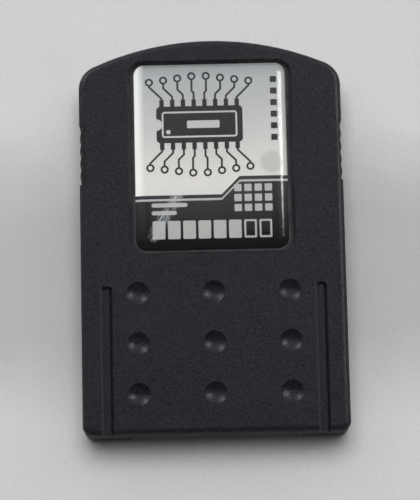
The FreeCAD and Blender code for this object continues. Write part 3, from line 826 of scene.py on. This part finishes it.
# Lamps: azimuth from +X towards +Y and elevation in degrees, power in watts
WARM_WHITE = (1.0, 0.99, 0.97)
COOL_WHITE = (0.97, 0.985, 1.0)
PLAIN_WHITE = (1.0, 1.0, 1.0)
RIGHT_LAMP = dict(azimuth=26, elevation=43, distance=0.9, size=0.31, power=2.7, colour=WARM_WHITE)
LEFT_LAMP = dict(azimuth=131, elevation=28, distance=0.9, size=0.36, power=2.5, colour=COOL_WHITE)
BACK_LAMP = dict(azimuth=90, elevation=73, distance=1.0, size=0.7, power=7.25, colour=PLAIN_WHITE)
SURROUNDINGS = grey(0.08)
BACK_GLOW = (0.92, 0.94, 0.97, 1)


def add_lamp(name, azimuth, elevation, distance, size, power, colour):
    """Round soft lamp aimed at the card."""
    lamp = bpy.data.lights.new(name, "AREA")
    lamp.shape = "DISK"
    lamp.size = size
    lamp.energy = power
    lamp.color = colour
    turn, rise = math.radians(azimuth), math.radians(elevation)
    away = Vector((math.cos(turn) * math.cos(rise), math.sin(turn) * math.cos(rise), math.sin(rise)))
    holder = bpy.data.objects.new(name, lamp)
    holder.location = away * distance
    holder.rotation_euler = away.to_track_quat("Z", "Y").to_euler()
    bpy.context.scene.collection.objects.link(holder)
    return holder


def spare_pieces(lamp, pieces):
    """Leaves some pieces unlit by one lamp."""
    spared = bpy.data.collections.new("spared_by_" + lamp.name)
    for piece in pieces:
        spared.objects.link(piece)
    for entry in spared.collection_objects:
        entry.light_linking.link_state = "EXCLUDE"
    lamp.light_linking.receiver_collection = spared


def light_studio(dome):
    """Three soft lamps, and surroundings that glow behind and above the card."""
    right_lamp = add_lamp("right_lamp", **RIGHT_LAMP)
    left_lamp = add_lamp("left_lamp", **LEFT_LAMP)
    for side_lamp in (right_lamp, left_lamp):
        side_lamp.visible_diffuse = False  # they only give the glints
    spare_pieces(left_lamp, [dome, frame["nodes"]["label_foil"]])  # its mirror image would wash out the label
    back_lamp = add_lamp("back_lamp", **BACK_LAMP)
    back_lamp.visible_glossy = False  # so that the clear dome doesn't mirror it
    back_lamp.visible_transmission = False
    world = bpy.data.worlds.new("studio")
    world.use_nodes = True
    wire = Wire(world.node_tree)
    _, towards_back, upwards = wire.node("ShaderNodeTexCoord", out="Generated").parts()
    glow = ramp_up(towards_back, start=0.13, end=0.28) * ramp_up(upwards, start=0.0, end=0.5)
    glow = colour_mix(glow, SURROUNDINGS, BACK_GLOW)
    background = world.node_tree.nodes["Background"]
    world.node_tree.links.new(glow.socket, background.inputs["Color"])
    bpy.context.scene.world = world
    bpy.context.scene.view_settings.view_transform = "Standard"


# Camera, as fitted to the card's outline in the photograph
PICTURE_SIZE = (420, 500)
CAMERA_DISTANCE = 0.360
CAMERA_TILT = math.radians(10.29)  # away from straight above, towards the insertion end
CAMERA_ROLL = math.radians(-1.285)
FOCAL_PIXELS = 2273.6
SENSOR_MM = 36.0
NEAR_CLIP = 0.01
AIM_PIXEL = (212.65, 235.5)  # where the aim point lies in the picture
AIM_SHIFT = -0.34 * MM  # of the aim point from the card's middle, along the card


def place_camera():
    """Camera at the photograph's viewing angle and framing."""
    camera = bpy.data.cameras.new("camera")
    camera.sensor_width = SENSOR_MM
    long_side = max(PICTURE_SIZE)
    camera.lens = FOCAL_PIXELS / long_side * SENSOR_MM
    camera.shift_x = (PICTURE_SIZE[0] / 2 - AIM_PIXEL[0]) / long_side
    camera.shift_y = (AIM_PIXEL[1] - PICTURE_SIZE[1] / 2) / long_side
    camera.clip_start = NEAR_CLIP
    tilt_sine, tilt_cosine = math.sin(CAMERA_TILT), math.cos(CAMERA_TILT)
    away = Vector((0, -tilt_sine, tilt_cosine))
    level_up = Vector((0, tilt_cosine, tilt_sine))
    across = Vector((1, 0, 0))
    right = across * math.cos(CAMERA_ROLL) + level_up * math.sin(CAMERA_ROLL)
    up = level_up * math.cos(CAMERA_ROLL) - across * math.sin(CAMERA_ROLL)
    aim = Vector((0, AIM_SHIFT, FRONT_FACE))
    turn = Matrix((right, up, away)).transposed().to_4x4()
    holder = bpy.data.objects.new("camera", camera)
    holder.matrix_world = Matrix.Translation(aim + away * CAMERA_DISTANCE) @ turn
    bpy.context.scene.collection.objects.link(holder)
    bpy.context.scene.camera = holder


dress_solids()
dome = make_dome(clear_resin())
make_floor()
light_studio(dome)
place_camera()
